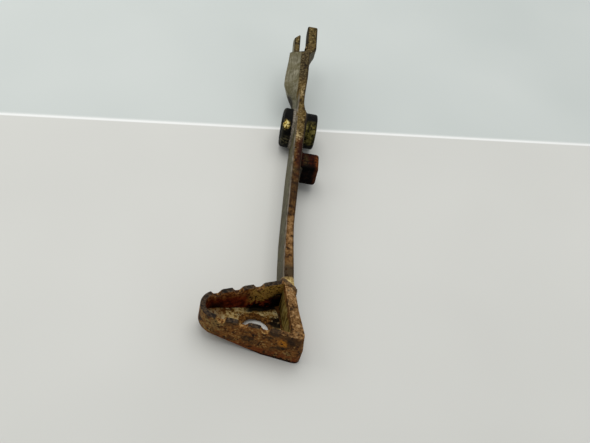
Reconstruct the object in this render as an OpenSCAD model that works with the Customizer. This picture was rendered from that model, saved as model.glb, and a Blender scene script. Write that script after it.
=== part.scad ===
// Rear brake pedal of a motorcycle: a forged arm that swings on a turned pivot boss,
// with a hollow serrated toe step at the front and an offset fork at the back.
// Frame: origin in the middle of the pivot bore, X along the pivot axis with the toe step
// on the -X side, Y from the toe step (-Y) to the fork (+Y), Z up. Millimetres.

/* [Arm] */
// Thickness of the forged arm at the pivot
arm_t = 7.2; // [6:0.1:9]
// Thickness of the arm at its waist
waist_t = 6; // [5:0.1:7]
// Thickness of the arm where it carries the toe step
end_t = 7.5; // [6:0.1:9]
// Thickness of the strip along the top of the rear arm
strip_t = 5.6; // [4.5:0.1:7]
// Sideways place of the rear arm's right flank at the fork
strip_right = 2.7; // [2:0.1:4]
// Sideways place of the rear arm's right flank at the boss
strip_waist = 1.6; // [1:0.1:3]
// Radius of the eye round the pivot
eye_r = 15.5; // [15.3:0.1:18]
// Pivot to the waist of the arm
waist_reach = 109; // [90:1:125]
// Pivot to the start of the toe step
step_reach = 158; // [145:1:170]
// Pivot to the front face of the toe step
reach = 203; // [198:0.5:208]
// Sideways set of the arm at its waist
waist_set = 1.5; // [0:0.1:4]
// Sideways set of the arm at the start of the toe step
step_set = 0.5; // [0:0.1:4]
// Angle by which the arm's end turns outwards
toe_out = 11; // [4:0.5:14]
// How far the right flank bulges at its foot, at the toe
toe_foot = 1.6; // [0:0.1:3]
// Rise of the arch under the front arm
arch_rise = 3.6; // [1:0.1:6]
// Draft of the left flank between the eye and the toe step
draft = 1.2; // [0:0.1:2]
// Softening of the forged edges
edge_r = 1.1; // [0.5:0.1:1.6]

/* [Rear arm and fork] */
// Pivot to the flat shoulder at the root of the fork
shoulder_reach = 68; // [60:1:74]
// Height of the shoulder's top over the pivot
shoulder_top = 24; // [20:0.5:28]
// Height of the shoulder's underside over the pivot
shoulder_low = 3; // [0:0.5:6]
// Sideways swell of the left flank that carries the fork
swell = 10.4; // [6:0.5:11]
// Extra swell of the left flank half way to the fork
mid_swell = 1.4; // [0:0.1:2.5]
// Gap between the two ears
fork_gap = 5.6; // [4.5:0.1:7]
// Thickness of the short left ear
left_ear_t = 4.8; // [4:0.1:6.5]
// Thickness of the long right ear
right_ear_t = 7.9; // [5:0.1:8]
// Sideways place of the slot's middle
slot_x = -3; // [-4:0.1:-2]
// Radius of the ears' round ends
ear_r = 6; // [5.5:0.1:7]
// Pivot to the fork pin
pin_reach = 87.5; // [85:0.5:90]
// Height of the fork pin over the pivot
pin_rise = 15.6; // [14:0.1:17]
// Diameter of the fork pin hole
pin_d = 6.1; // [5:0.1:7]
// Length of the left ear's end past the pin's own round
ear_nose = 3.4; // [2:0.1:5]
// Distance from the fork pin to the bevel on the left ear's upper end
ear_bevel = 4; // [3.7:0.1:5]
// How far the right ear runs on past the left one
ear_overrun = 14.5; // [8:0.5:20]
// How far past the shoulder the right ear has stepped fully outwards
jog_l = 15; // [10:0.5:16]
// Width of the web at the slot's root, on the right ear
root_w = 1.6; // [0.5:0.1:2.2]
// Length of that web along the slot
root_l = 7; // [4:0.5:9]

/* [Pivot] */
// Outer diameter of the boss on its left side
boss_left_d = 29.4; // [28:0.1:30]
// Outer diameter of the boss on its right side
boss_right_d = 26.6; // [25:0.1:27.4]
// Length of the boss left of the arm
boss_left = 8.8; // [7:0.1:12]
// Length of the boss right of the arm
boss_right = 9.6; // [8:0.1:13]
// Rounding of the boss's outer edges
boss_edge = 2.4; // [0.5:0.1:2.6]
// Bore of the pivot bushes
bore_d = 17.1; // [15:0.1:18]
// Wall of the pivot bushes
bush_wall = 1.8; // [1.2:0.1:2]
// Length of each pivot bush
bush_len = 9; // [7:0.5:9.5]
// Thickness of the dust seals
seal_t = 2; // [1.5:0.1:2.5]
// Depth of the seals' seats round the bushes
seal_lip = 1.1; // [0.8:0.1:1.2]
// Leg of the weld beads round the boss
boss_weld = 1.5; // [1:0.1:1.7]
// Length of the left bead along the boss
weld_run = 2.2; // [1:0.1:3]

/* [Toe step] */
// Height of the serrated strip next to the arm
step_h = 24.5; // [22:0.5:28]
// How much lower the strip's teeth are at the tip
tip_drop = 3; // [0:0.5:5]
// How far the strip's underside rises at the tip
tip_lift = 8.4; // [2:0.5:9]
// Sideways reach of the flat part of the underside
flat_out = 10; // [8:0.5:14]
// Thickness of the serrated strip
strip_wall = 3.2; // [2.5:0.1:4]
// Radius of the step's outer tip
tip_r = 11; // [9:0.1:12]
// Sideways reach of the tip's centre from the pivot plane
tip_out = 40.5; // [36:0.1:48]
// Pivot to the tip's centre along the arm
tip_reach = 184; // [180:0.5:188]
// Radius of the strip's corner before the arm's end
corner_r = 3.6; // [3.3:0.1:5]
// Spacing of the teeth
tooth_pitch = 13.6; // [12:0.1:14]
// Depth of the notches between the teeth
tooth_depth = 3.1; // [2:0.1:4.5]
// Width of a notch at its bottom
notch_low = 2.6; // [2:0.1:4]
// Width of a notch at its mouth
notch_top = 8.4; // [7:0.1:9.5]
// Number of notches along each side
notches = 3; // [2:1:3]
// Thickness of the step's floor
floor_t = 2; // [1.6:0.1:3]
// Diameter of the drain hole in the floor
drain_d = 18; // [12:0.2:20]
// Sideways reach of the drain hole
drain_out = 14.9; // [14:0.1:18]
// Pivot to the drain hole along the arm
drain_reach = 183.8; // [181:0.1:186]
// Angle of the welded seam across the arm
seam_angle = 40; // [20:1:50]
// Width of the weld bead along the seam
seam_w = 4; // [2.5:0.1:6]
// Height of the weld bead along the seam
seam_h = 0.8; // [0.4:0.1:1.2]
// Depth by which the well is hollowed into the thick wall by the arm
well_cut = 1; // [0.8:0.1:2.5]

/* [Stop lug] */
// How far the lug stands out from the arm
lug_out = 13.2; // [8:0.1:15]
// Length of the lug along the arm
lug_len = 17; // [12:0.5:20]
// Height of the lug
lug_h = 17; // [12:0.5:20]
// Pivot to the lug's rear face
lug_reach = 33; // [30:0.5:40]
// Height of the lug's top over the pivot
lug_top = 8; // [5:0.5:10]
// Radius of the lug's corners
lug_r = 2.5; // [1:0.1:4]
// Bevel round the lug's outer end
lug_bevel = 1.5; // [0.5:0.1:2.5]
// Leg of the weld bead round the lug
lug_weld_leg = 1.5; // [1:0.1:2.5]

/* [Hidden] */
// Clearance between pieces that are welded or pushed together
seat = 0.05;
// Length of one slice of the forged arm
slice = 4;
$fn = 64;
far = 400;
floor_z = -eye_r;
rim_z = floor_z + step_h;
left_face = -arm_t / 2;
right_face = arm_t / 2;
// The flanks stay flat and square to the pivot this far from it
eye_flat = eye_r + 2;
boss_x0 = left_face - boss_left;
boss_x1 = right_face + boss_right;
bush_r = bore_d / 2 + bush_wall;
seal_r = bush_r + seal_lip;
left_ear_x = slot_x - fork_gap / 2 - left_ear_t;
right_ear_x = slot_x + fork_gap / 2;
tip = [-tip_out, -tip_reach];
corner = [arm_x(-reach) + end_t / 2 - corner_r, -reach + corner_r];
heel_r = 1.5;
heel = [arm_x(-step_reach) - end_t / 2, -step_reach - 1 - heel_r];
tip_x = -tip_out - tip_r;
drain = [-drain_out, -drain_reach];

function lerp(a, b, t) = a + (b - a) * t;
function clamp01(t) = min(1, max(0, t));
function ease(t) = let(u = clamp01(t)) u * u * (3 - 2 * u);

// Middle of the arm's thickness, seen from above
function arm_x(y) =
    y >= -eye_flat ? 0
    : y > -waist_reach ? waist_set * (y + eye_flat) / (waist_reach - eye_flat)
    : y > -step_reach ? lerp(-waist_set, step_set, pow((-y - waist_reach) / (step_reach - waist_reach), 1.3))
    : step_set + tan(toe_out) * (-y - step_reach);

// Thickness of the arm in front of the pivot
function arm_w(y) =
    y > -eye_flat ? arm_t
    : y > -waist_reach ? lerp(arm_t, waist_t, ease((-y - eye_flat) / (waist_reach - eye_flat)))
    : lerp(waist_t, end_t, ease((-y - waist_reach) / (step_reach - waist_reach)));

// Top and underside of the arm, seen from the side
function front_top(y) = lerp(eye_r, rim_z, clamp01(-y / step_reach));
function front_low(y) = floor_z + arch_rise * pow(sin(180 * clamp01(-y / step_reach)), 2);
function rear_top(y) = lerp(eye_r, shoulder_top, pow(clamp01(y / shoulder_reach), 1.2));
function rear_low(y) = lerp(floor_z, shoulder_low, y / shoulder_reach);

// Where the rear flank swells to the left: 0 at the boss, 1 at the fork
function swell_at(y) = ease((y - eye_r - 5) / 20);

// Corners of one slice, counter-clockwise seen from the toe step
function front_corners(y, g = 0) =
    let(x = arm_x(y), w = arm_w(y) / 2 + g, t = front_top(y) + g, b = front_low(y) - g,
        d = draft * pow(sin(180 * clamp01((-y - eye_r) / (step_reach - eye_r - 6))), 0.8))
    [[x + w, t], [x - w, t], [x - w - d / 2, (t + b) / 2], [x - w - d, b], [x + w, b]];
function rear_corners(y) =
    let(s = swell_at(y), k = clamp01(y / shoulder_reach), t = rear_top(y), b = rear_low(y),
        e = (swell + mid_swell * sin(180 * ease((y - eye_r) / (shoulder_reach - eye_r)))) * s,
        r = lerp(lerp(right_face, strip_waist, ease(y / eye_r)), strip_right, ease((y - eye_r) / 30)),
        l = lerp(left_face, strip_right - strip_t, ease(y / 45)),
        drop = lerp((t - b) / 2, lerp(15, 3.5, pow(k, 1.5)), s))
    [[r, t], [l, t], [l - e, t - drop], [l - e * lerp(0.35, 0.9, ease((y - 30) / 26)), b], [r, b]];

// Softens each corner of a slice with three points
function soft(c, r) =
    [for (i = [0:len(c) - 1])
        let(p = c[i], a = c[(i + len(c) - 1) % len(c)], b = c[(i + 1) % len(c)],
            u = (a - p) / norm(a - p), v = (b - p) / norm(b - p))
        each [p + u * r, p + (u + v) * r * 0.29, p + v * r]];

// Solid through a row of slices, each given as [y, [[x, z], ...]]
module loft(slices) {
    n = len(slices[0][1]);
    m = len(slices);
    pts = [for (s = slices) for (p = s[1]) [p[0], s[0], p[1]]];
    sides = [for (i = [0:m - 2]) for (k = [0:n - 1])
        let(a = i * n + k, b = i * n + (k + 1) % n, c = b + n, d = a + n)
        each [[a, b, c], [a, c, d]]];
    front = [[for (k = [n - 1:-1:0]) k]];
    back = [[for (k = [0:n - 1]) (m - 1) * n + k]];
    polyhedron(points = pts, faces = concat(front, sides, back), convexity = 6);
}

// Extrudes a side view, drawn as [y, z], from x0 to x1
module side_plate(x0, x1) {
    translate([x0, 0, 0]) rotate([90, 0, 90]) linear_extrude(x1 - x0) children();
}

// Turns a profile, drawn as [radius, x], about the pivot axis
module turned() {
    rotate([0, 90, 0]) rotate_extrude($fn = 96) children();
}

// An ear between x0 and x1: a straight root from y0, a round end about y1, and softened edges
module ear(x0, x1, y0, y1) {
    loft([[y0, ear_slice(x0, x1, 0)], for (a = [0:6:78]) [y1 + ear_r * sin(a), ear_slice(x0, x1, a)]]);
}
function ear_slice(x0, x1, a) =
    let(h = ear_r * cos(a), left = ear_r * (1 - sin(a)),
        i = left < edge_r ? edge_r - sqrt(edge_r * edge_r - pow(edge_r - left, 2)) : 0)
    soft([[x1 - i, pin_rise + h], [x0 + i, pin_rise + h], [x0 + i, pin_rise - h], [x1 - i, pin_rise - h]],
         min(edge_r, 0.8 * h));

// Extrudes a front view, drawn as [x, z], along the whole length
module front_prism() {
    rotate([90, 0, 0]) linear_extrude(2 * far, center = true) children();
}

// Outer outline of the toe step, seen from above
module step_outline() {
    hull() {
        translate(tip) circle(r = tip_r, $fn = 72);
        translate(corner) circle(r = corner_r, $fn = 32);
        translate(heel) circle(r = heel_r, $fn = 24);
    }
}

module step_inside(gap = 0) {
    offset(delta = -strip_wall - gap) step_outline();
}

// Height of the teeth and of the underside, sideways along the step
function rim_at(x) = rim_z - tip_drop * clamp01(x / tip_x);
function low_at(x) = floor_z + tip_lift * max(0, (-flat_out - x) / (-flat_out - tip_x));

// The arm's end seen from above, shifted left by a clearance, and all that lies right of it
module end_keepout(gap) {
    y0 = -reach - 10;
    y1 = -step_reach + 12;
    x0 = arm_x(-step_reach) - end_t / 2 - gap;
    polygon([[x0, y1], [x0, -step_reach], [arm_x(y0) - end_t / 2 - gap, y0], [far, y0], [far, y1]]);
}

// All that lies in front of the inner face of the strip's front wall, seen from above
module front_of_end(gap) {
    p = wall_point(corner, corner_r, -1, 0);
    a = wall_dir(corner, corner_r, -1);
    translate(p) rotate([0, 0, a]) translate([0, strip_wall / 2 + gap - far]) square([far, far]);
}

// All that lies behind the inner face of the strip's rear wall, seen from above
module behind_well(gap) {
    p = wall_point(heel, heel_r, 1, 0);
    a = wall_dir(heel, heel_r, 1);
    translate(p) rotate([0, 0, a]) translate([-far / 2, -strip_wall / 2 - gap]) square([far, far]);
}

// All that lies in front of the slanting seam between the arm and the step, seen from above
module seam_front(gap) {
    translate([arm_x(-step_reach) - end_t / 2, -step_reach + 0.5]) rotate([0, 0, -seam_angle])
        translate([-far / 2, -far - gap]) square([far, far]);
}

// The forged bar from its front end to the shoulder of the fork
module bar(grow = 0) {
    ys_front = [for (i = [0:slice:reach]) -reach + i];
    ys_rear = [for (i = [0:2:shoulder_reach]) i];
    loft([for (y = ys_front) if (y < 0) [y, soft(front_corners(y, grow), edge_r)],
          each [for (y = ys_rear) [y, soft(rear_corners(y), edge_r)]],
          [shoulder_reach, soft(rear_corners(shoulder_reach), edge_r)]]);
}

// The right ear carries on from the strip and steps outwards, its foot later than its top
module ear_jog() {
    loft([for (k = [0:0.1:1])
        let(y = lerp(shoulder_reach - 3, shoulder_reach + jog_l, k), s = ease(1.4 * k), f = ease(k),
            out = right_ear_x + right_ear_t, w = lerp(strip_t, right_ear_t, s),
            t = lerp(shoulder_top - 0.4, pin_rise + ear_r, s),
            b = lerp(shoulder_low + 0.4, pin_rise - ear_r, ease(1.6 * k)))
        [y, soft([[lerp(strip_right, out, s), t], [lerp(strip_right, out, s) - w, t],
                  [lerp(strip_right, out, f) - w, b], [lerp(strip_right, out, f), b]], edge_r)]]);
}

module pedal_arm() {
    color("#6b655c") difference() {
        union() {
            bar();
            side_plate(left_face, right_face) circle(r = eye_r, $fn = 96);
            ear_jog();
            ear(right_ear_x, right_ear_x + right_ear_t, shoulder_reach + jog_l - 0.5, pin_reach + ear_nose + ear_overrun);
            ear(left_ear_x, left_ear_x + left_ear_t, shoulder_reach - 0.5, pin_reach + ear_nose);
            // Root of the right ear, inside the slot
            translate([0, 0, pin_rise - ear_r + 0.5]) linear_extrude(2 * ear_r - 1)
                polygon([[right_ear_x + 1, shoulder_reach + 8], [right_ear_x - root_w, shoulder_reach + 8],
                         [right_ear_x, shoulder_reach + 8 + root_l], [right_ear_x + 1, shoulder_reach + 8 + root_l]]);
        }
        // Seat of the boss through the eye
        translate([-far / 2, 0, 0]) rotate([0, 90, 0]) cylinder(d = boss_right_d + 2 * seat, h = far, $fn = 96);
        // Fork pin hole through both ears
        translate([left_ear_x - 1, pin_reach, pin_rise]) rotate([0, 90, 0])
            cylinder(d = pin_d, h = fork_gap + left_ear_t + right_ear_t + 2, $fn = 48);
        // Bevel across the upper end of the left ear, on its outer side
        translate([left_ear_x, pin_reach, pin_rise]) rotate([45, 0, 0]) translate([0, ear_bevel, 0])
            rotate([0, 0, 45]) translate([-far / 2, 0, -far / 2]) cube([far / 2 + 2 * left_ear_t, far / 2, far]);
        // The toe step takes over at the seam
        translate([0, 0, floor_z - 5]) linear_extrude(step_h + 20) seam_front(0);
    }
}

module pivot_boss() {
    rl = boss_left_d / 2;
    rr = boss_right_d / 2;
    // A rounding is limited by the seat of its seal
    el = min(boss_edge, rl - seal_r - 0.4);
    er = min(boss_edge, rr - seal_r - 0.4);
    color("#2c2a26") turned() difference() {
        polygon([[bush_r, boss_x0], each [for (a = [0:15:90]) [rl - el + el * sin(a), boss_x0 + el - el * cos(a)]],
                 [rl, left_face - seat], [rr, left_face - seat],
                 each [for (a = [90:-15:0]) [rr - er + er * sin(a), boss_x1 - er + er * cos(a)]], [bush_r, boss_x1]]);
        // Seats of the dust seals
        translate([bush_r - 1, boss_x0 - 1]) square([seal_lip + 1, seal_t + 1.5]);
        translate([bush_r - 1, boss_x1 - seal_t - 0.5]) square([seal_lip + 1, seal_t + 1.5]);
    }
}

module bush(x0) {
    color("#b08d4a") turned() translate([bore_d / 2, x0]) square([bush_wall - seat / 5, bush_len]);
}

module bush_left() {
    bush(boss_x0 + seal_t + 0.5);
}

module bush_right() {
    bush(boss_x1 - seal_t - 0.5 - bush_len);
}

// A ring with a thin lip towards the shaft
module seal(x0) {
    color("#1b1b1b") turned() translate([0, x0])
        polygon([[bore_d / 2 + 0.5, 0], [seal_r - seat, 0], [seal_r - seat, seal_t], [bore_d / 2 + 1, seal_t],
                 [bore_d / 2 + 0.5, seal_t * 0.6]]);
}

module seal_left() {
    seal(boss_x0 + 0.3);
}

module seal_right() {
    seal(boss_x1 - seal_t - 0.3);
}

// Point on the middle of a wall of the step, s from where it leaves the tip
function wall_dir(c, r, side) =
    let(d = c - tip, a = atan2(d[1], d[0]), b = asin((tip_r - r) / norm(d))) a + side * b * -1;
function wall_point(c, r, side, s) =
    let(a = wall_dir(c, r, side), n = a + side * 90, m = tip_r - strip_wall / 2)
    [tip[0] + m * cos(n) + s * cos(a), tip[1] + m * sin(n) + s * sin(a)];

// Half the outline of a notch, from its middle out
function notch_side(m) =
    [[m * notch_low / 2, -tooth_depth], [m * (notch_low + notch_top) / 4.4, -tooth_depth * 0.55],
     [m * notch_top * 0.38, -tooth_depth * 0.16], [m * notch_top / 2, 0.01], [m * notch_top / 2, 6]];

module notch_row(c, r, side, first) {
    a = wall_dir(c, r, side);
    for (i = [0:notches - 1]) {
        p = wall_point(c, r, side, first + i * tooth_pitch);
        l = notch_side(-1);
        translate([p[0], p[1], rim_at(p[0])]) rotate([0, 0, a]) rotate([90, 0, 0])
            linear_extrude(3 * strip_wall, center = true)
                polygon(concat(notch_side(1), [for (k = [len(l) - 1:-1:0]) l[k]]));
    }
}

// The serrated loop: a bent strip that closes on the thick wall by the arm
module toe_step() {
    color("#6e4a30") difference() {
        union() {
            translate([0, 0, floor_z]) linear_extrude(step_h) difference() {
                step_outline();
                step_inside();
                difference() {
                    end_keepout(-0.5);
                    front_of_end(0);
                }
            }
            // The right flank bulges at its foot, most at the strip's corner
            hull() {
                for (k = [[0, rim_z - 0.1], [1, lerp(floor_z, rim_z, 0.4)], [0.7, floor_z]])
                    translate([corner[0] + k[0] * toe_foot, corner[1], k[1]]) cylinder(r = corner_r, h = 0.1, $fn = 32);
                translate([arm_x(-step_reach - 16) + end_t / 2 - 3, -step_reach - 16, floor_z])
                    cylinder(r = 2.8, h = step_h - 2, $fn = 16);
            }
            intersection() {
                bar();
                translate([0, 0, floor_z - 5]) linear_extrude(step_h + 20) difference() {
                    seam_front(seat);
                    front_of_end(-strip_wall / 2);
                }
            }
        }
        // The well is hollowed into the arm's end, above the floor
        translate([0, 0, floor_z + floor_t]) linear_extrude(step_h) difference() {
            translate([-3 * strip_wall, 0]) end_keepout(0);
            translate([well_cut, 0]) end_keepout(0);
            front_of_end(0);
            behind_well(0);
        }
        // Teeth that fall and an underside that rises towards the tip
        front_prism() polygon([[0, rim_z], [2 * tip_x, rim_z - 2 * tip_drop], [2 * tip_x, far], [0, far]]);
        front_prism() polygon([[-flat_out, floor_z], [3 * tip_x, low_at(3 * tip_x)], [3 * tip_x, -far], [-flat_out, -far]]);
        notch_row(heel, heel_r, 1, 1.3);
        notch_row(corner, corner_r, -1, 4.3);
    }
}

module step_floor() {
    color("#5a4030") intersection() {
        translate([0, 0, floor_z - 1]) linear_extrude(step_h) difference() {
            step_inside(seat);
            end_keepout(seat);
            translate(drain) circle(d = drain_d);
        }
        front_prism() polygon([[2 * tip_x, low_at(2 * tip_x)], [-flat_out, floor_z], [far, floor_z],
            [far, floor_z + floor_t], [-flat_out, floor_z + floor_t], [2 * tip_x, low_at(2 * tip_x) + floor_t]]);
    }
}

// Side view of the lug, a rectangle with round corners, grown all round
module lug_profile(grow = 0) {
    y0 = -lug_reach - lug_len;
    z0 = lug_top - lug_h;
    translate([y0 - grow, z0 + lug_r]) square([lug_len + 2 * grow, lug_h - 2 * lug_r]);
    translate([y0 + lug_r, z0 - grow]) square([lug_len - 2 * lug_r, lug_h + 2 * grow]);
    for (y = [y0 + lug_r, y0 + lug_len - lug_r], z = [z0 + lug_r, lug_top - lug_r])
        translate([y, z]) circle(r = lug_r + grow, $fn = 48);
}

lug_x = max(arm_x(-lug_reach) + arm_w(-lug_reach) / 2,
            arm_x(-lug_reach - lug_len) + arm_w(-lug_reach - lug_len) / 2) + seat;

module stop_lug() {
    color("#5c3b28") difference() {
        side_plate(lug_x, lug_x + lug_out) lug_profile();
        // Bevels round the outer end
        translate([lug_x + lug_out, -lug_reach - lug_len / 2, lug_top - lug_h / 2]) for (k = [0:3])
            rotate([90 * k, 0, 0]) translate([0, 0, (k % 2 == 0 ? lug_h : lug_len) / 2 - lug_bevel])
                rotate([0, 45, 0]) translate([-far / 2, -far / 2, 0]) cube([far, far, far]);
    }
}

// Fillet beads round both ends of the boss, on the flanks of the eye
module boss_welds() {
    rl = boss_left_d / 2 + seat;
    rr = boss_right_d / 2 + seat;
    // The bead on the larger side is limited by the rim of the eye
    wl = min(boss_weld, eye_r - rl);
    wr = min(boss_weld, eye_r - rr);
    color("#4a443c") turned() {
        polygon([[rl, left_face - seat], [rl + wl, left_face - seat], [rl, left_face - seat - weld_run]]);
        polygon([[rr, right_face + seat], [rr + wr, right_face + seat], [rr, right_face + seat + wr]]);
    }
}

module lug_weld() {
    color("#4a443c") difference() {
        hull() {
            side_plate(lug_x, lug_x + 0.2) lug_profile(lug_weld_leg);
            side_plate(lug_x, lug_x + lug_weld_leg) lug_profile(0.3);
        }
        side_plate(lug_x - 1, lug_x + 9) lug_profile(seat);
        // The stop face on top stays bare
        translate([lug_x - 1, -lug_reach - lug_len - 10, lug_top]) cube([20, lug_len + 20, 20]);
    }
}

// A raised bead along the slanting seam, round the arm
module step_weld() {
    color("#7a7468") difference() {
        intersection() {
            bar(seam_h);
            translate([arm_x(-step_reach) - end_t / 2, -step_reach + 0.5, 0]) rotate([0, 0, -seam_angle])
                translate([-far / 2, -seam_w / 2, floor_z]) cube([far, seam_w, far]);
        }
        bar(seat);
        translate([0, 0, floor_z - 1]) linear_extrude(step_h + 5) offset(delta = seat) difference() {
            step_outline();
            step_inside();
        }
        translate([0, 0, floor_z - 1]) linear_extrude(floor_t + 1 + seat) step_inside();
    }
}

pedal_arm();
pivot_boss();
bush_left();
bush_right();
seal_left();
seal_right();
toe_step();
step_floor();
stop_lug();
boss_welds();
lug_weld();
step_weld();
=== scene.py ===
import math

import bpy
from mathutils import Matrix, Vector


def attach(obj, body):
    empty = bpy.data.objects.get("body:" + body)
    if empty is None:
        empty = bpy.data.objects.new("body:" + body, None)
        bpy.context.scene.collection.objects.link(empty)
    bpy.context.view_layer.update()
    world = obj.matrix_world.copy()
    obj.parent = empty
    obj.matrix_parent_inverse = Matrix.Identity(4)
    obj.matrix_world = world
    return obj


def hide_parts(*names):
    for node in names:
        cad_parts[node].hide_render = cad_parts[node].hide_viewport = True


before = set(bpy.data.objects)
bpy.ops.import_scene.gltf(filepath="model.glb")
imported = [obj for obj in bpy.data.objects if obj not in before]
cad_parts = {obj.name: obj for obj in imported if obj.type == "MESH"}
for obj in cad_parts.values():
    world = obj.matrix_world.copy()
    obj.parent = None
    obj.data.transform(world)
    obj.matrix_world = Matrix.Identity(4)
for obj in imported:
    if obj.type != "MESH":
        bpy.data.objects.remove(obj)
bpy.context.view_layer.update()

MM = 0.001

# The view: the picture's width, the focal length and the pivot's place from the picture's middle,
# in pixels, the pivot's depth in front of the camera in millimetres, and the angles in degrees
PICTURE_WIDTH, FOCAL = 590, 900
PIVOT_RIGHT, PIVOT_UP = 2.5, 92.0
PIVOT_DEPTH = 682.0
DIP, TURN, LEAN = 45.0, 7.4, 14.6
SENSOR_WIDTH = 36.0

# The backdrop, in millimetres: tops of the board and the sheet, the board's far edge and its turn
BOARD_TOP, SHEET_TOP = -15.5, -17.0
BOARD_EDGE, EDGE_TURN = 19.0, 10.5
BACKDROP_WIDTH, BACKDROP_REACH = 1900, 900

# The toe step, in millimetres: its rim's height by the arm, how far the rim falls towards the tip
# and over what length, and the middle of the drain hole
RIM_TOP, RIM_FALL, RIM_LENGTH = 9.0, 3.0, 40.5
DRAIN_MIDDLE = (-14.9, -183.3, 0)

# Weld drops, in millimetres: half their length, the way from one to the next, and the skin's grain
DROP_HALF, DROP_STEP, BEAD_GRAIN = 0.85, 0.95, 0.3
# How much the drops swell, as a share, and stray in millimetres, each with its pace from drop to drop
SWELL, SWELL_PACE = 0.10, 2.4
STRAY, STRAY_PACE = 0.18, 1.7
# The worn lug, in millimetres: how far its foot reaches into the arm, its rounding and its grain
LUG_FOOT, LUG_ROUNDING, LUG_GRAIN = 3.0, 2.4, 0.35


def axes_at(x, y, z, place):
    """The matrix that turns the axes to x, y and z and moves the origin to place."""
    return Matrix((
        (x.x, y.x, z.x, place.x),
        (x.y, y.y, z.y, place.y),
        (x.z, y.z, z.z, place.z),
        (0, 0, 0, 1)))


# Camera

def stand_camera():
    """Looks down at the pedal from its toe end."""
    dip, turn, lean = math.radians(DIP), math.radians(TURN), math.radians(LEAN)
    ahead = Vector((
        math.sin(turn) * math.cos(dip), math.cos(turn) * math.cos(dip), -math.sin(dip)))
    level = Vector((math.cos(turn), -math.sin(turn), 0.0))
    steep = level.cross(ahead)
    right = level * math.cos(lean) + steep * math.sin(lean)
    up = steep * math.cos(lean) - level * math.sin(lean)
    pixel = PIVOT_DEPTH / FOCAL
    place = -(ahead * PIVOT_DEPTH + right * (PIVOT_RIGHT * pixel) + up * (PIVOT_UP * pixel)) * MM
    lens = bpy.data.cameras.new("camera")
    lens.sensor_width = SENSOR_WIDTH
    lens.lens = FOCAL * SENSOR_WIDTH / PICTURE_WIDTH
    lens.clip_start = 0.01
    camera = bpy.data.objects.new("camera", lens)
    bpy.context.scene.collection.objects.link(camera)
    camera.matrix_world = axes_at(right, up, -ahead, place)
    bpy.context.scene.camera = camera


# Finishes

def shade(code):
    """A colour written as on a screen, as the linear colour that a shader takes."""
    parts = [int(code[start:start + 2], 16) / 255 for start in (0, 2, 4)]
    linear = [part / 12.92 if part <= 0.04045 else ((part + 0.055) / 1.055) ** 2.4
              for part in parts]
    return (*linear, 1.0)


class Mark:
    """One socket of a finish, on which + - * add Math nodes."""

    def __init__(self, finish, socket):
        self.finish = finish
        self.socket = socket

    def maths(self, operation, first, second=0.0):
        return self.finish.add("ShaderNodeMath", {"operation": operation}, {0: first, 1: second})

    def __add__(self, other):
        return self.maths("ADD", self, other)

    def __radd__(self, other):
        return self.maths("ADD", other, self)

    def __sub__(self, other):
        return self.maths("SUBTRACT", self, other)

    def __rsub__(self, other):
        return self.maths("SUBTRACT", other, self)

    def __mul__(self, other):
        return self.maths("MULTIPLY", self, other)

    def __rmul__(self, other):
        return self.maths("MULTIPLY", other, self)

    def __neg__(self):
        return self.maths("MULTIPLY", self, -1.0)

    def __abs__(self):
        return self.maths("ABSOLUTE", self)

    def most(self, other):
        return self.maths("MAXIMUM", self, other)

    def least(self, other):
        return self.maths("MINIMUM", self, other)

    def ragged(self, noise, by):
        """The same measure, moved up and down by noise; by is the noise's full swing."""
        return self + (noise - 0.5) * by

    def rise(self, low, high):
        """0 below low, 1 above high and soft between them; low may be the larger."""
        return self.finish.add("ShaderNodeMapRange", {"interpolation_type": "SMOOTHSTEP"},
                               {"Value": self, "From Min": low, "From Max": high}, "Result")


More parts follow.
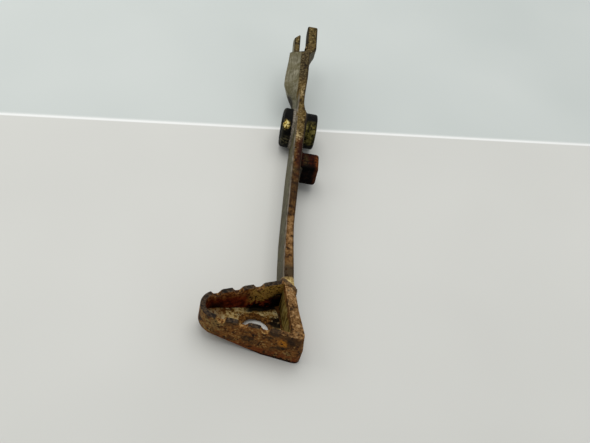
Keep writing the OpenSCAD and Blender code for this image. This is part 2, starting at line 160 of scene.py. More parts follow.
class Finish:
    """A material in the making; x, y and z are the place on the pedal in millimetres."""

    def __init__(self, name, **sockets):
        self.material = bpy.data.materials.new(name)
        self.material.use_nodes = True
        self.tree = self.material.node_tree
        self.shader = self.tree.nodes["Principled BSDF"]
        for socket, value in sockets.items():
            self.shader.inputs[socket.replace("_", " ")].default_value = value
        coordinates = self.add("ShaderNodeTexCoord", out="Object")
        self.place = self.add("ShaderNodeVectorMath", {"operation": "SCALE"},
                              {0: coordinates, "Scale": 1 / MM})
        self.x, self.y, self.z = self.split(self.place)
        facing = Mark(self, coordinates.socket.node.outputs["Normal"])
        self.facing_x, self.facing_y, self.facing_z = self.split(facing)

    def add(self, kind, settings=None, inputs=None, out=0):
        """Adds any node with its settings and inputs; out is the output to go on with."""
        node = self.tree.nodes.new(kind)
        for name, value in (settings or {}).items():
            if name == "stops":
                self.set_stops(node.color_ramp, value)
            else:
                setattr(node, name, value)
        for name, value in (inputs or {}).items():
            if isinstance(value, Mark):
                self.tree.links.new(value.socket, node.inputs[name])
            else:
                node.inputs[name].default_value = value
        return Mark(self, node.outputs[out])

    def set_stops(self, ramp, stops):
        while len(ramp.elements) < len(stops):
            ramp.elements.new(0.5)
        for element, (at, code) in zip(ramp.elements, stops):
            element.position = at
            element.color = shade(code)

    def split(self, vector):
        node = self.add("ShaderNodeSeparateXYZ", {}, {0: vector}).socket.node
        return [Mark(self, node.outputs[axis]) for axis in "XYZ"]

    def cloud(self, size, detail, rough, stretch=(1, 1, 1), shift=(0, 0, 0), warp=0.0):
        """Noise about 0.5, with patches about size mm wide, longer where stretch is small."""
        stretched = self.add("ShaderNodeMapping", {}, {
            "Vector": self.place, "Location": shift, "Scale": stretch})
        return self.add("ShaderNodeTexNoise", {}, {
            "Vector": stretched, "Scale": 1.0 / size,
            "Detail": detail, "Roughness": rough, "Distortion": warp})

    def grains(self, size):
        """Distance from the middle of the nearest grain, in grains."""
        return self.add("ShaderNodeTexVoronoi", {}, {
            "Vector": self.place, "Scale": 1.0 / size}, "Distance")

    def spot(self, middle, radii, soft):
        """1 inside an ellipsoid, 0 outside, soft at its rim."""
        away = self.add("ShaderNodeVectorMath", {"operation": "SUBTRACT"},
                        {0: self.place, 1: middle})
        away = self.add("ShaderNodeVectorMath", {"operation": "DIVIDE"}, {0: away, 1: radii})
        far = self.add("ShaderNodeVectorMath", {"operation": "LENGTH"}, {0: away}, "Value")
        return far.rise(1.0 + soft, 1.0 - soft)

    def over(self, under, top, mask):
        """The colour top, a code or a mark, laid over the colour under where mask is 1."""
        top = shade(top) if isinstance(top, str) else top
        return self.add("ShaderNodeMix", {"data_type": "RGBA"}, {0: mask, 6: under, 7: top}, 2)

    def ramp(self, value, *stops):
        """A colour for each value, through stops of (value, colour code)."""
        return self.add("ShaderNodeValToRGB", {"stops": stops}, {0: value}, "Color")

    def finish(self, colour, rough, bumps=(), metal=None):
        """Links the colour and roughness, and bumps as (height, depth in mm) pairs."""
        put = self.tree.links.new
        put(colour.socket, self.shader.inputs["Base Color"])
        put(rough.socket, self.shader.inputs["Roughness"])
        if metal is not None:
            put(metal.socket, self.shader.inputs["Metallic"])
        last = None
        for height, depth in bumps:
            inputs = {"Height": height, "Distance": depth * MM, "Strength": 1.0}
            if last is not None:
                inputs["Normal"] = last
            last = self.add("ShaderNodeBump", {}, inputs)
        if last is not None:
            put(last.socket, self.shader.inputs["Normal"])
        return self.material


def outer_rust(coat, blot, patch, fleck, grit):
    """Browns and orange, tan towards the tip, with pale and black flecks."""
    rust = coat.ramp(patch, (0.36, "241206"), (0.44, "4b2a0e"), (0.50, "674019"), (0.56, "7b5125"),
                     (0.65, "5b2f0e"))
    rust = coat.over(rust, "874f1c", blot.rise(0.50, 0.60) * fleck.rise(0.44, 0.56) * 0.65)
    tan = coat.x.rise(-30, -44) * 0.06 + fleck * 0.5 + blot * 0.5
    rust = coat.over(rust, "7a663d", tan.rise(0.54, 0.62) * 0.75)
    rust = coat.over(rust, "b08a52", (fleck * 0.7 + grit * 0.3).rise(0.55, 0.62) * 0.5)
    rust = coat.over(rust, "3a2a18", blot.rise(0.47, 0.38) * 0.6)
    return coat.over(rust, "150a04", (fleck * 0.6 + patch * 0.4).rise(0.44, 0.36) * 0.55)


def far_wall_paint(coat, patch, fleck):
    """Inside the far wall: red-brown, brown on top, olive towards the arm, black at its foot and by
    the arm as painted shade.
    """
    paint = coat.ramp(patch, (0.36, "270903"), (0.45, "561908"), (0.54, "6f290b"), (0.64, "8d3f19"))
    brown = coat.ramp(fleck, (0.38, "3a1c09"), (0.5, "74441a"), (0.62, "9a6a3a"))
    paint = coat.over(paint, brown, coat.z.ragged(patch, 14).rise(0.5, 3.5) * 0.85)
    olive = coat.ramp(fleck, (0.38, "5d4213"), (0.48, "a07a30"), (0.58, "b99650"), (0.66, "8a5a1c"))
    olive = coat.over(olive, "2e1b08", (patch * 0.6 + fleck * 0.4).rise(0.47, 0.40) * 0.85)
    paint = coat.over(paint, olive, coat.x.rise(-25, -18) * coat.z.ragged(patch, 22).rise(-6.5, -4))
    # Painted shade: black low on the wall towards the arm, and round the corner by the arm
    foot = coat.z.ragged(patch, 20).rise(-8.0, -9.5) * coat.x.rise(-26, -20)
    paint = coat.over(paint, "060303", foot)
    shaded_by_arm = coat.spot((-3, -162, -6), (6, 6, 6.5), 0.3)
    paint = coat.over(paint, "060303", shaded_by_arm * patch.rise(0.36, 0.44))
    return coat.over(paint, "100402", coat.spot((-42, -176, -6.5), (6.5, 9, 5.5), 0.6) * 0.88)


def rusty_step():
    """Old rust over a cast step: brown outside, red-brown and olive inside, dark worn teeth."""
    coat = Finish("rusty_step", Specular_IOR_Level=0.07)
    blot = coat.cloud(8, 4, 0.6)
    patch = coat.cloud(3.4, 4, 0.62, shift=(31, 7, 3))
    fleck = coat.cloud(1.5, 3, 0.6, shift=(5, 60, 9))
    grit = coat.cloud(0.6, 3, 0.7, shift=(9, 2, 4))
    rust = outer_rust(coat, blot, patch, fleck, grit)
    # Inside: the far wall and the inner face of the tip
    behind = (coat.y - coat.x * 0.05).rise(-183, -181)
    inner_far = behind * coat.facing_y.rise(-0.2, -0.5) * coat.x.rise(1.5, -0.5)
    inner_tip = coat.x.rise(-34, -36) * coat.facing_x.rise(0.05, 0.3) * coat.facing_z.rise(0.6, 0.3)
    rust = coat.over(rust, far_wall_paint(coat, patch, fleck), inner_far.most(inner_tip))
    # The inner face of the thick wall: olive bands below, the top's brown above
    inner_right = (coat.facing_x.rise(-0.4, -0.7) * coat.x.rise(-8, -6)
                   * coat.z.ragged(patch, 9).rise(5.5, 2.5))
    bands = coat.cloud(2.4, 3, 0.6, stretch=(1, 1, 0.22), shift=(2, 3, 8))
    wall = coat.ramp(bands, (0.38, "3a2a0d"), (0.47, "76601f"), (0.56, "9a8a52"), (0.66, "6a4a18"))
    rust = coat.over(rust, wall, inner_right)
    # Worn tops of the teeth and of the tip's rim, dark and bare; the notches between them
    rim = RIM_TOP + coat.x.least(0.0) * (RIM_FALL / RIM_LENGTH)
    over_rim = coat.z - rim
    high = over_rim.rise(-1.4, -0.8)
    level = coat.facing_z.rise(0.75, 0.93)
    left_of_wall = (coat.x + (coat.y + 180) * -0.12).rise(-4.5, -6.5)
    worn = (level * high * left_of_wall + (fleck - 0.5) * 0.6).rise(0.4, 0.6)
    bare = coat.ramp(fleck, (0.38, "16100b"), (0.48, "32261b"), (0.58, "423528"), (0.66, "5b4731"))
    rust = coat.over(rust, bare, worn)
    notch = coat.facing_z.rise(0.15, 0.4) * (1 - high) * over_rim.rise(-6, -5) * (1 - worn)
    far_notch = coat.ramp(fleck, (0.40, "2c160a"), (0.55, "5e3d1b"), (0.64, "8d6a3a"))
    rust = coat.over(rust, far_notch, notch * behind * 0.85)
    near_notch = coat.ramp(fleck, (0.40, "4a2a10"), (0.50, "855a2a"), (0.60, "b08d58"))
    rust = coat.over(rust, near_notch, notch * (1 - behind) * 0.75)
    # The top of the thick wall: tan and brown with black spots
    wall_top = level * (1 - worn) * coat.z.rise(8, 8.6)
    tan = coat.ramp(fleck * 0.5 + patch * 0.5,
                    (0.38, "2a1a0d"), (0.45, "664724"), (0.52, "8a6840"), (0.60, "b3946a"))
    rust = coat.over(rust, tan, wall_top * 0.8)
    blacks = coat.cloud(3.4, 3, 0.6, shift=(3, 9, 1)).rise(0.45, 0.36)
    rust = coat.over(rust, "0d0704", wall_top * blacks * 0.7)
    # Redder along the foot of the near wall, and painted shade dark along its lowest edge
    low = coat.z.rise(-7, -12) * (1 - behind)
    rust = coat.over(rust, "66250b", low * patch.rise(0.42, 0.54) * 0.65)
    rust = coat.over(rust, "140804", coat.z.ragged(fleck, 4).rise(-13.2, -14.6) * 0.9)
    # One small dimple with an orange bloom beside it, partly a painted highlight, and dark scale round
    # both; a worn patch
    scale = coat.spot((6.5, -202.4, 3.0), (6.5, 4, 6.0), 0.4)
    rust = coat.over(rust, "2a1a0d", scale * patch.rise(0.42, 0.52) * 0.6)
    bloom_and_highlight = coat.spot((1.6, -201.8, 1.0), (3.2, 5, 3.4), 0.5)
    rust = coat.over(rust, "b0701f", bloom_and_highlight * fleck.rise(0.40, 0.52) * 0.85)
    dent = coat.spot((5.2, -202.4, 3.3), (2.5, 4.0, 2.5), 0.5)
    rust = coat.over(rust, "1c110a", dent * fleck.rise(0.40, 0.50) * 0.85)
    rust = coat.over(rust, "2c2218", coat.spot((-4.5, -199.5, 7.4), (4.2, 4, 2.6), 0.4) * 0.8)
    rough = 0.66 + (fleck - 0.5) * 0.5 - worn * 0.2
    pits = coat.grains(1.3).rise(0.34, 0.12)
    return coat.finish(rust, rough, [
        (blot, 0.9), (patch, 0.5), (fleck + grit * 0.5 - pits * 0.35, 0.4), (-dent, 0.4)])


def step_web():
    """The floor of the step: flaking olive-brown dirt, darker round the drain hole."""
    coat = Finish("step_web", Specular_IOR_Level=0.06)
    patch = coat.cloud(6, 4, 0.55, shift=(1, 4, 0))
    fleck = coat.cloud(1.6, 3, 0.6, shift=(4, 8, 1))
    dirt = coat.ramp(patch, (0.36, "43270c"), (0.45, "7c561d"), (0.52, "b39355"), (0.58, "ccb57c"),
                     (0.68, "e1d5ab"))
    dirt = coat.over(dirt, "3a210a", fleck.rise(0.46, 0.38) * 0.85)
    dirt = coat.over(dirt, "c2ad7c", fleck.rise(0.51, 0.58) * 0.75)
    dirt = coat.over(dirt, "5e2f0e", coat.x.ragged(fleck, 14).rise(-32, -38) * 0.6)
    # A brown ring round the drain hole
    level = coat.add("ShaderNodeCombineXYZ", {}, {0: coat.x, 1: coat.y, 2: 0.0})
    from_drain = coat.add("ShaderNodeVectorMath", {"operation": "DISTANCE"},
                          {0: level, 1: DRAIN_MIDDLE}, "Value")
    ring = from_drain.ragged(patch, 5).rise(12.4, 11.2)
    brown = coat.ramp(fleck, (0.36, "2a1608"), (0.50, "5d3814"), (0.64, "8a6028"))
    dirt = coat.over(dirt, brown, ring * 0.95)
    # Black along the far wall, painted shade in the crease at its foot, and black in the corner by the
    # thick wall
    shaded_far_foot = (coat.y - coat.x * 0.36).ragged(patch, 7).rise(-165.2, -163.4) * coat.x.rise(-26, -20)
    corner = coat.spot((-1.5, -175.5, -13.5), (6.0, 4.6, 4), 0.25) * patch.rise(0.37, 0.42)
    dirt = coat.over(dirt, "050303", shaded_far_foot.most(corner) * 0.97)
    rough = 0.74 + (fleck - 0.5) * 0.4
    return coat.finish(dirt, rough, [(patch, 0.7), (fleck, 0.3)])


def arm_edges(coat, broad, patch, fleck, warm):
    """The cast edge faces, from the step to the fork, and the edge faces of the ears."""
    streak = coat.cloud(1.7, 3, 0.6, stretch=(1.5, 0.22, 1), shift=(8, 3, 2))
    edge = coat.ramp(patch * 0.65 + streak * 0.35,
                     (0.38, "221407"), (0.45, "3c260f"), (0.51, "503618"), (0.58, "664a24"),
                     (0.66, "40280e"))
    # Tan over the waist, a dark patch by the step
    tan = coat.ramp(patch * 0.6 + fleck * 0.4,
                    (0.40, "4d3116"), (0.47, "6b4a27"), (0.53, "7f5d36"), (0.60, "9b7850"))
    edge = coat.over(edge, tan, warm * (streak * 0.3 + patch * 0.7).rise(0.34, 0.50) * 0.9)
    by_step = coat.spot((-0.5, -151, 9), (6, 5, 6), 0.5)
    edge = coat.over(edge, "3f3525", by_step * patch.rise(0.38, 0.5) * 0.85)
    # Brown from the lug on, ochre by the boss, rusty between them
    speckled = coat.y.rise(-80, -62)
    brown = coat.ramp(patch, (0.37, "251808"), (0.46, "443013"), (0.54, "594522"), (0.64, "3f2f17"))
    edge = coat.over(edge, brown, speckled)
    by_boss = coat.y.rise(-32, -24) * coat.y.rise(42, 28)
    ochre = coat.ramp(patch, (0.37, "34250d"), (0.46, "54421e"), (0.55, "6a5730"), (0.65, "4b391c"))
    edge = coat.over(edge, ochre, by_boss)
    rusty = coat.y.rise(-78, -60) * coat.y.rise(-24, -30) * coat.x.rise(-2.9, -1.0)
    red = coat.ramp(patch, (0.37, "1f0c03"), (0.47, "442006"), (0.56, "5d320d"), (0.66, "6a4922"))
    edge = coat.over(edge, red, rusty * broad.rise(0.36, 0.5))
    # Dark red grease beside the lug, pale flecks, two pale worn places, a dark stretch before the lug
    beside_lug = coat.spot((4.2, -41, 13), (4.6, 19, 6), 0.5)
    edge = coat.over(edge, "240a05", beside_lug * (patch * 0.5 + fleck * 0.5).rise(0.38, 0.46))
    pale = (fleck * 0.7 + patch * 0.3).rise(0.54, 0.63) * (0.75 - rusty * 0.45)
    edge = coat.over(edge, "9f8c65", speckled * pale)
    worn = coat.spot((-1.0, -24, 14.5), (2.6, 5, 4), 0.6)
    worn = worn.most(coat.spot((0.3, 24, 18), (2.6, 4, 4), 0.6))
    edge = coat.over(edge, "b9a377", worn * fleck.rise(0.47, 0.57) * 0.8)
    before_lug = coat.y.ragged(patch, 30).rise(-102, -80) * coat.y.rise(-50, -58)
    edge = coat.over(edge, "2a1b0c", before_lug * 0.45)
    beside_lug = coat.spot((4.6, -41, 13), (4.4, 16, 8), 0.5)
    edge = coat.over(edge, "2a0d06",
                     beside_lug * (patch * 0.5 + streak * 0.5).rise(0.36, 0.46) * 0.9)
    # Olive behind the boss, and dark specks all along
    olive = coat.ramp(fleck, (0.38, "20180b"), (0.46, "3a2f1c"), (0.54, "50442b"), (0.64, "6a5e41"))
    edge = coat.over(edge, olive, coat.y.rise(30, 44))
    edge = coat.over(edge, "1a1007",
                     (fleck * 0.6 + patch * 0.4).rise(0.45, 0.37) * (0.65 - warm * 0.6))
    # The ears' edge faces: ochre-brown with dark specks, and painted shade on their rims
    fork = coat.y.rise(68, 74)
    ochre = coat.ramp(patch, (0.37, "291e0b"), (0.46, "50421d"), (0.55, "685731"), (0.65, "483416"))
    edge = coat.over(edge, ochre, fork)
    edge = coat.over(edge, "160d05", fork * fleck.rise(0.47, 0.38) * 0.7)
    edge = coat.over(edge, "a89468", fork * fleck.rise(0.58, 0.66) * 0.7)
    # Painted shade: the rims darkened where the edge faces turn sideways
    edge = coat.over(edge, "0f0a05", fork * abs(coat.facing_x).rise(0.12, 0.45) * 0.8)
    # The right rim, dark: painted shade
    return coat.over(edge, "1f1309", coat.facing_x.rise(0.15, 0.5) * 0.6)


def arm_flanks(coat, broad, patch, fleck, scratch, leaf):
    """The flanks: grey-green with fine scratches, paler on the leaf behind the boss."""
    flank = coat.ramp(scratch * 0.35 + patch * 0.65,
                      (0.40, "34301d"), (0.46, "4a442c"), (0.55, "5a5437"), (0.66, "6b6345"))
    flank = coat.over(flank, "46431f", patch.rise(0.50, 0.60) * 0.6)
    flank = coat.over(flank, "2e220d", broad.rise(0.52, 0.64) * 0.6)
    # The leaf: grey, with painted shade on its underside on the right and painted light on its
    # underside on the left
    swirl = coat.cloud(1.3, 3, 0.65, stretch=(1, 0.16, 0.5), shift=(1, 5, 3), warp=0.8)
    grey = coat.ramp(swirl * 0.6 + patch * 0.4,
                     (0.38, "59543f"), (0.46, "6c6753"), (0.55, "7d7864"), (0.64, "918b78"))
    flank = coat.over(flank, grey, leaf)
    flank = coat.over(flank, "57502f", leaf * broad.rise(0.48, 0.6) * 0.45)
    shaded_under_right = leaf * coat.facing_z.rise(0.15, -0.25) * coat.x.rise(-1, 1)
    flank = coat.over(flank, "2f261a", shaded_under_right * 0.75)
    lit_under_left = leaf * coat.facing_z.rise(-0.1, -0.28) * coat.x.rise(-3, -5)
    flank = coat.over(flank, "96907a", lit_under_left * 0.6)
    # The right flank: browner, with rust
    right_side = coat.facing_x.rise(0.3, 0.7)
    brown = coat.ramp(scratch * 0.3 + patch * 0.7, (0.40, "352c1b"), (0.5, "4c422e"), (0.60, "62583f"))
    flank = coat.over(flank, brown, right_side * 0.9)
    flank = coat.over(flank, "4d2c10",
                      right_side * (fleck * 0.6 + patch * 0.4).rise(0.53, 0.60) * 0.7)
    flank = coat.over(flank, "33210f",
                      right_side * (broad * 0.6 + patch * 0.4).rise(0.52, 0.62) * 0.7)
    # Painted shade: a dark patch at the leaf's lower end, where it reads as a hollow; the surface is
    # not dented there
    return coat.over(flank, "1c1206", coat.spot((-7.6, 32.4, -0.8), (4.2, 6.2, 7.4), 0.35) * 0.95)


def forged_arm():
    """The arm: rubbed grey-green flanks, brown cast edges with ochre mottling, browned ears."""
    coat = Finish("forged_arm", Specular_IOR_Level=0.07)
    broad = coat.cloud(14, 4, 0.55)
    patch = coat.cloud(3.6, 4, 0.6, shift=(3, 21, 9))
    fleck = coat.cloud(1.4, 3, 0.6, shift=(14, 2, 7))
    scratch = coat.cloud(0.8, 2, 0.6, stretch=(1, 0.12, 1.3))
    warm = coat.spot((0.5, -122, 10), (5, 20, 8), 0.7)
    leaf = coat.y.rise(17, 24)
    edge = arm_edges(coat, broad, patch, fleck, warm)
    flank = arm_flanks(coat, broad, patch, fleck, scratch, leaf)
    # Where a face counts as a flank: where it faces sideways, and all of the leaf left of the strip
    strip = coat.x.ragged(fleck, 0.5).rise(-4.6, -4.1)
    sideways = abs(coat.facing_x).rise(0.5, 0.75).most(leaf * (1 - strip) * coat.y.rise(67.9, 67.4))
    sideways = sideways * (1 - leaf * strip * coat.facing_x.rise(0.2, 0.0) * coat.z.rise(9, 12))
    skin = coat.over(edge, flank, sideways)
    # Inside the fork's slot
    inside = coat.x.rise(-6.5, -5.4) * coat.x.rise(1.0, 0.2) * coat.y.rise(72, 76)
    dull = coat.ramp(patch, (0.37, "1f1a10"), (0.5, "443d2c"), (0.63, "5c543f"))
    skin = coat.over(skin, dull, inside * sideways * 0.9)
    # Rubbed pale along the left rim of the edge face, partly a painted highlight on that edge
    rubbed = coat.facing_x.rise(-0.15, -0.3) * coat.facing_x.rise(-0.97, -0.85) * (1 - leaf)
    pale = coat.ramp(scratch, (0.38, "4b4338"), (0.5, "6a6257"), (0.62, "827b70"))
    skin = coat.over(skin, pale, rubbed * 0.85)
    # Scorched and bare by the seam weld, darker towards the step, blackened by the boss
    burnt = coat.spot((1.5, -160, 9), (5.5, 4.2, 6), 0.3) * coat.facing_z.rise(0.3, 0.7)
    bare = coat.ramp(fleck, (0.38, "765e32"), (0.48, "a68c55"), (0.58, "ccb47a"))
    skin = coat.over(skin, bare, burnt * 0.9)
    toeward = coat.y.rise(-95, -150) * sideways * coat.x.rise(0, -1)
    skin = coat.over(skin, "2a2010", toeward * 0.3)
    near_boss = coat.spot((0, 0, 0), (30, 17.5, 17.5), 0.12) * sideways * abs(coat.x).rise(3.0, 3.4)
    skin = coat.over(skin, "14110b", near_boss * patch.rise(0.32, 0.5) * coat.x.rise(-1, 1))
    # The underside
    rust = coat.ramp(patch, (0.35, "211509"), (0.55, "45331b"), (0.7, "604b2e"))
    skin = coat.over(skin, rust, coat.facing_z.rise(-0.4, -0.8) * 0.7)
    rough = 0.66 + (fleck - 0.5) * 0.5 - sideways * 0.14
    pits = coat.grains(1.1).rise(0.34, 0.14) * (1 - sideways) * (1 - warm * 0.7)
    fine = patch * (1 - sideways * 0.6) + fleck * 0.5 - pits * 0.5 + scratch * sideways * 0.1
    return coat.finish(skin, rough, [(broad, 0.5), (fine, 0.35)])


def greasy_boss():
    """The pivot boss under old grease: black, khaki where dust has stuck, one bare bronze patch with a
    painted glint, painted highlights low down and on the ends.
    """
    coat = Finish("greasy_boss", Specular_IOR_Level=0.08)
    patch = coat.cloud(4, 4, 0.6)
    fleck = coat.cloud(1.4, 3, 0.6, shift=(4, 1, 19))
    lump = coat.cloud(2.2, 4, 0.6, shift=(7, 7, 2))
    grease = coat.ramp(patch, (0.38, "010101"), (0.5, "030302"), (0.6, "090804"), (0.68, "0e0d07"))
    # Painted highlights: pale flecks on the faces turned down
    grease = coat.over(grease, "4b4736", fleck.rise(0.58, 0.66) * coat.facing_z.rise(0.2, -0.5) * 0.8)
    # Khaki dust low on the right end, grey dust low on the left end
    low_right = (coat.x.rise(3.5, 5) * (coat.facing_z * 0.55 - coat.facing_y).rise(0.72, 1.05)
                 * coat.facing_z.rise(-0.45, -0.1))
    dusty = low_right * (fleck * 0.5 + lump * 0.5).rise(0.40, 0.50)
    khaki = coat.ramp(lump, (0.38, "221e0a"), (0.48, "464018"), (0.56, "62592a"), (0.66, "776e3f"))
    grease = coat.over(grease, khaki, dusty)
    left_low = coat.x.rise(-5, -7) * coat.spot((-9, -14, -1), (4, 4, 4.5), 0.5)
    grease = coat.over(grease, "57513a", left_low * fleck.rise(0.48, 0.58) * 0.9)
    # The bare bronze patch, its pale core a painted glint; the end faces lighter in patches, dust and
    # painted highlight
    glint = coat.spot((-9.9, -9.6, 11), (2.6, 3.2, 3.2), 0.5)
    glint = glint * (lump * 0.5 + fleck * 0.5).rise(0.45, 0.52)
    bronze = coat.ramp(fleck, (0.40, "8c6d20"), (0.5, "cfae4a"), (0.6, "f3e6a4"))
    grease = coat.over(grease, bronze, glint)
    rim = abs(coat.facing_x).rise(0.4, 0.7)
    grease = coat.over(grease, "2e2c20", rim * patch.rise(0.45, 0.58) * 0.7)
    rough = 0.45 + fleck * 0.3 + dusty * 0.2
    return coat.finish(grease, rough, [(lump, 0.9), (fleck, 0.35)])


def worn_lug():
    """The stop lug: red-brown rust on top with an orange rim, partly a painted highlight; black on its
    front, painted shade over grease.
    """
    coat = Finish("worn_lug", Specular_IOR_Level=0.04)
    patch = coat.cloud(3.6, 4, 0.6, shift=(4, 4, 4))
    fleck = coat.cloud(1.3, 3, 0.6)
    rust = coat.ramp(patch, (0.37, "0a0101"), (0.47, "1c0502"), (0.55, "280a03"), (0.64, "391306"))
    streak = coat.spot((7.0, -43, 8), (2.0, 6.5, 3), 0.5)
    rust = coat.over(rust, "43351b", streak * fleck.rise(0.44, 0.54) * 0.75)
    # The orange rim on the outer edge: rust, partly a painted highlight
    rim = coat.spot((15.9, -40.5, 8), (2.2, 7, 3.2), 0.7)
    rust = coat.over(rust, "773f17", rim * fleck.rise(0.42, 0.54) * 0.85)
    rust = coat.over(rust, "0c0302", fleck.rise(0.45, 0.38) * 0.8)
    # The front and the underside black, painted shade over grease, with brown left on the outer corner
    front = coat.facing_y.rise(-0.35, -0.7) + coat.facing_z.rise(-0.2, -0.6)
    black = coat.ramp(patch, (0.45, "020101"), (0.7, "1a0f08"))
    rust = coat.over(rust, black, front.least(1.0) * 0.97)
    rust = coat.over(rust, "030201", coat.spot((9, -50, 7.5), (5.5, 3.5, 2.5), 0.5) * 0.9)
    outer_corner = coat.spot((16.2, -49.5, 1), (2.4, 4, 8), 0.6)
    rust = coat.over(rust, "56290f", outer_corner * fleck.rise(0.40, 0.52) * 0.75)
    rough = 0.66 + (fleck - 0.5) * 0.5
    return coat.finish(rust, rough, [(patch, 0.8), (fleck, 0.35)])


def oily_bush():
    """The plain bushes in the boss: bronze under dark oil."""
    coat = Finish("oily_bush")
    patch = coat.cloud(3, 4, 0.6)
    ring = coat.cloud(0.5, 2, 0.6, stretch=(3, 0.3, 0.3))
    bronze = coat.ramp(patch, (0.35, "2a200d"), (0.5, "6a5326"), (0.66, "9a7e46"))
    bronze = coat.over(bronze, "0d0a06", ring.rise(0.52, 0.4) * 0.7)
    metal = patch.rise(0.45, 0.6) * 0.85
    return coat.finish(bronze, 0.35 + ring * 0.25, [(ring, 0.08), (patch, 0.15)], metal=metal)


def perished_seal():
    """The dust seals: black rubber, dusty and finely cracked."""
    coat = Finish("perished_seal", Specular_IOR_Level=0.3)
    patch = coat.cloud(4, 4, 0.6)
    crack = coat.grains(1.6).rise(0.5, 0.75)
    rubber = coat.ramp(patch, (0.35, "0b0b0a"), (0.55, "1a1916"), (0.75, "35322a"))
    rubber = coat.over(rubber, "050504", crack * 0.6)
    return coat.finish(rubber, 0.55 + patch * 0.3, [(patch - crack, 0.2)])


def weld_metal():
    """Weld beads: brown-grey, dark in the hollows, blackened at the boss and the lug."""
    coat = Finish("weld_metal", Specular_IOR_Level=0.25)
    patch = coat.cloud(3, 4, 0.6, shift=(3, 3, 1))
    fleck = coat.cloud(1.0, 3, 0.65)
    skin = coat.ramp(patch, (0.35, "33220f"), (0.5, "5c4324"), (0.62, "816640"), (0.78, "98825a"))
    skin = coat.over(skin, "170c06", fleck.rise(0.45, 0.34) * 0.8)
    sharp = coat.add("ShaderNodeNewGeometry", {}, {}, "Pointiness")
    skin = coat.over(skin, "120a05", sharp.rise(0.49, 0.44) * 0.8)
    grimy = coat.spot((0, 0, 0), (30, 18, 18), 0.1).most(coat.spot((4, -42, -1), (9, 17, 17), 0.2))
    grime = coat.ramp(patch, (0.4, "090704"), (0.7, "2b2314"))
    skin = coat.over(skin, grime, grimy * 0.92)
    # The left ring by the boss, rubbed grey, partly a painted highlight
    rubbed = (coat.spot((-4.6, 0, 0), (3, 18, 18), 0.1) * coat.x.ragged(patch, 2).rise(-5.9, -5.0)
              * coat.x.rise(-1, -3))
    grey = coat.ramp(fleck, (0.38, "4d4638"), (0.5, "766e60"), (0.62, "958c7e"))
    skin = coat.over(skin, grey, rubbed * 0.95)
    return coat.finish(skin, 0.5 + fleck * 0.3, [(fleck, 0.25)])


# Modelled pieces

def settle(piece, grain, passes, finish):
    """Melts the active piece into one skin with faces grain mm wide, relaxes it and coats it."""
    melt = piece.modifiers.new("melt", "REMESH")
    melt.mode = "VOXEL"
    melt.voxel_size = grain * MM
    bpy.ops.object.modifier_apply(modifier="melt")
    relax = piece.modifiers.new("relax", "SMOOTH")
    relax.factor = 0.5
    relax.iterations = passes
    bpy.ops.object.modifier_apply(modifier="relax")
    bpy.ops.object.shade_smooth()
    piece.data.materials.clear()
    piece.data.materials.append(finish)


def lay_weld(name, node, stops, wide, high, finish):
    """A rippled bead along stops of (place, outward) in mm: flat drops melted into one skin."""
    bpy.ops.object.select_all(action="DESELECT")
    bpy.ops.mesh.primitive_ico_sphere_add(subdivisions=2, radius=MM)
    drop = bpy.context.object
    bpy.ops.object.mode_set(mode="EDIT")
    bpy.ops.mesh.select_all(action="SELECT")
    bpy.ops.transform.resize(value=(DROP_HALF, wide / 2, high))
    bpy.ops.object.mode_set(mode="OBJECT")
    drops, left = [], 0.0
    for (start, out_a), (end, out_b) in zip(stops, stops[1:]):
        start, end = Vector(start), Vector(end)
        along, length = (end - start).normalized(), (end - start).length
        while left < length:
            share = left / length
            out = Vector(out_a).lerp(Vector(out_b), share).normalized()
            across = out.cross(along).normalized()
            # No two drops next to each other have the same size or lie in one line
            swell = 1 + SWELL * math.sin(len(drops) * SWELL_PACE)
            aside = across * STRAY * math.sin(len(drops) * STRAY_PACE)
            place = (start + (end - start) * share + aside) * MM
            copy = drop.copy()
            copy.data = drop.data.copy()
            copy.data.transform(axes_at(along * swell, across * swell, out * swell, place))
            bpy.context.scene.collection.objects.link(copy)
            drops.append(copy)
            left += DROP_STEP
        left -= length
    bpy.data.objects.remove(drop)
    for copy in drops:
        copy.select_set(True)
    bpy.context.view_layer.objects.active = drops[0]
    bpy.ops.object.join()
    bead = bpy.context.object
    bead.name = name
    settle(bead, BEAD_GRAIN, 2, finish)
    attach(bead, "root")
    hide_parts(node)


def lay_welds(finish):
    """The seam between the arm and the step, and the bead round three sides of the lug."""
    lay_weld("seam_bead", "step_weld", [
        ((-3.5, -157.2, -14.4), (-1, 0.3, 0)),
        ((-3.5, -157.2, 7.6), (-1, 0.3, 0)),
        ((-2.9, -157.8, 8.8), (-0.7, 0.2, 0.7)),
        ((-1.6, -158.9, 9.1), (0, 0, 1)),
        ((4.6, -164.1, 9.1), (0, 0, 1)),
        ((5.8, -165.1, 8.7), (0.7, -0.2, 0.7)),
        ((6.2, -165.6, 7.4), (1, -0.2, 0)),
        ((6.2, -165.6, -14.4), (1, -0.2, 0)),
    ], 2.7, 0.75, finish)
    lay_weld("lug_bead", "lug_weld", [
        ((3.5, -50.6, 6.6), (0.6, -0.8, 0)),
        ((3.5, -50.6, -6.0), (0.6, -0.8, 0)),
        ((3.5, -49.0, -8.9), (0.6, -0.5, -0.6)),
        ((3.5, -47.0, -9.5), (0.6, 0, -0.8)),
        ((3.5, -36.0, -9.5), (0.6, 0, -0.8)),
        ((3.5, -34.0, -8.9), (0.6, 0.5, -0.6)),
        ((3.6, -32.2, -6.0), (0.6, 0.8, 0)),
        ((3.6, -32.2, 6.9), (0.6, 0.8, 0)),
    ], 3.0, 1.2, finish)


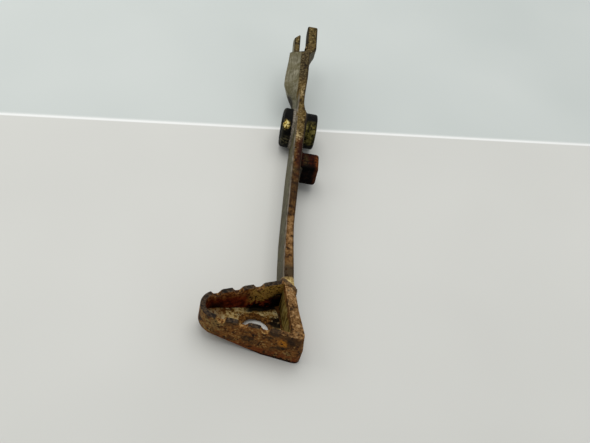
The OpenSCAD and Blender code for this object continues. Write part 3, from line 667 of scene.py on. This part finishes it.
def round_lug(node, finish):
    """The stop lug with its edges worn round; its foot reaches into the arm."""
    corners = [vertex.co for vertex in node.data.vertices]
    low = Vector([min(corner[axis] for corner in corners) for axis in range(3)])
    high = Vector([max(corner[axis] for corner in corners) for axis in range(3)])
    low.x -= LUG_FOOT * MM
    bpy.ops.object.select_all(action="DESELECT")
    bpy.ops.mesh.primitive_cube_add(size=1)
    lug = bpy.context.object
    lug.name = "round_lug"
    size = Matrix.Diagonal((*(high - low), 1))
    lug.data.transform(Matrix.Translation((low + high) / 2) @ size)
    worn = lug.modifiers.new("worn", "BEVEL")
    worn.width = LUG_ROUNDING * MM
    worn.segments = 5
    bpy.ops.object.modifier_apply(modifier="worn")
    settle(lug, LUG_GRAIN, 3, finish)
    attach(lug, "root")
    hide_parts("stop_lug")


def coat_nodes():
    """Gives every node its finish, and adds the pieces that are modelled anew."""
    finishes = {
        "pedal_arm": forged_arm(),
        "pivot_boss": greasy_boss(),
        "bush_left": oily_bush(),
        "seal_left": perished_seal(),
        "toe_step": rusty_step(),
        "step_floor": step_web(),
        "stop_lug": worn_lug(),
        "boss_welds": weld_metal(),
    }
    finishes["bush_right"] = finishes["bush_left"]
    finishes["seal_right"] = finishes["seal_left"]
    finishes["lug_weld"] = finishes["step_weld"] = finishes["boss_welds"]
    lay_welds(finishes["boss_welds"])
    round_lug(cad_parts["stop_lug"], finishes["stop_lug"])
    for name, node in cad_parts.items():
        for slot in node.material_slots:
            slot.material = finishes[name]


# Floor and light

def lay_floor():
    """A pale board under the pedal, ending in an edge with a painted highlight along it, and a pale
    sheet beyond it where that highlight fades out.
    """
    line = math.radians(EDGE_TURN)
    across = (-math.sin(line), math.cos(line), 0)
    # Name, material, top, far edge, two paints, where the painted highlight along the edge starts and
    # ends, its strength
    for name, material, top, far, paints, edge, highlight_strength in (
            ("floor_board", "pale_floor", BOARD_TOP, BOARD_EDGE,
             ("d4d4cf", "dadad5"), (16.2, 17.6), 1.0),
            ("wall_sheet", "pale_wall", SHEET_TOP, BACKDROP_REACH,
             ("cbd1ce", "d3d8d5"), (23.5, 19.8), 0.8)):
        sheet = Finish(material, Specular_IOR_Level=0.2)
        soft = sheet.cloud(170, 2, 0.5)
        from_line = sheet.add("ShaderNodeVectorMath", {"operation": "DOT_PRODUCT"},
                              {0: sheet.place, 1: across}, "Value")
        paint = sheet.ramp(soft, (0.3, paints[0]), (0.7, paints[1]))
        # Painted highlight along the board's edge
        paint = sheet.over(paint, "f6f7f5", from_line.rise(*edge) * highlight_strength)
        sheet.finish(paint, 0.75 + soft * 0.1)
        near = -BACKDROP_REACH
        bpy.ops.mesh.primitive_plane_add(size=1)
        piece = bpy.context.object
        piece.name = name
        piece.data.transform(Matrix.Diagonal((BACKDROP_WIDTH * MM, (far - near) * MM, 1, 1)))
        piece.data.transform(Matrix.Translation((0, (far + near) / 2 * MM, top * MM)))
        piece.data.transform(Matrix.Rotation(line, 4, "Z"))
        piece.data.materials.append(sheet.material)


def hang_lights():
    """Soft daylight: a plain room, one large panel overhead and one smaller from the left."""
    world = bpy.data.worlds.new("room")
    bpy.context.scene.world = world
    world.use_nodes = True
    back = world.node_tree.nodes["Background"]
    back.inputs["Color"].default_value = (0.97, 0.99, 1.0, 1.0)
    back.inputs["Strength"].default_value = 0.50
    target = Vector((0, -0.05, 0))
    for name, place, size, power in (("sky_panel", (-0.05, 0.32, 1.35), 1.3, 10.0),
                                     ("window", (-1.0, 0.05, 0.85), 0.8, 3.0)):
        lamp = bpy.data.lights.new(name, "AREA")
        lamp.size = size
        lamp.energy = power
        lamp.color = (1.0, 0.99, 0.97)
        holder = bpy.data.objects.new(name, lamp)
        bpy.context.scene.collection.objects.link(holder)
        place = Vector(place)
        aim = (target - place).to_track_quat("-Z", "Y").to_matrix().to_4x4()
        holder.matrix_world = Matrix.Translation(place) @ aim


bpy.ops.object.select_all(action="DESELECT")
stand_camera()
hang_lights()
lay_floor()
coat_nodes()
bpy.context.scene.view_settings.view_transform = "Standard"
